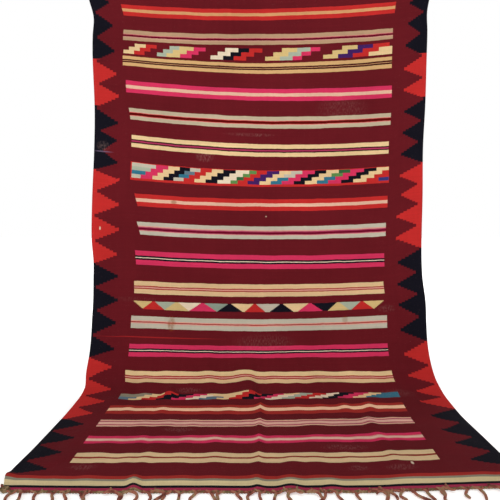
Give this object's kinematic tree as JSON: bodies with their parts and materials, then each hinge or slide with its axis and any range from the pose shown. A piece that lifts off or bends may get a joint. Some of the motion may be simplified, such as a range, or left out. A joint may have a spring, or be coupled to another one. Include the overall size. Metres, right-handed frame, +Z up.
{
  "type": "flat-woven wool rug, hung by its top edge and lying out over the floor",
  "caption": "Long striped flat-woven rug with stepped side borders that hangs flat, sweeps round at the floor and ends in a corded fringe.",
  "frame": {"origin": "on the floor, under the middle of the whole rug's box", "axes": "+Z up, +X to the right of somebody who faces the rug, -Y from the hanging part towards that viewer and along the part on the floor"},
  "size_m": [1.642, 1.2536, 2.2864],
  "materials": {
    "wool_weave": "weft-faced wool tapestry weave, matt, dark red ground with cream, grey, pink, red and black bands",
    "warp_ends": "plied and twined wool yarn, matt, reddish brown and tan"
  },
  "bodies": {
    "root": {"cloth": "wool_weave", "fringe": "warp_ends"}
  },
  "joints": []
}
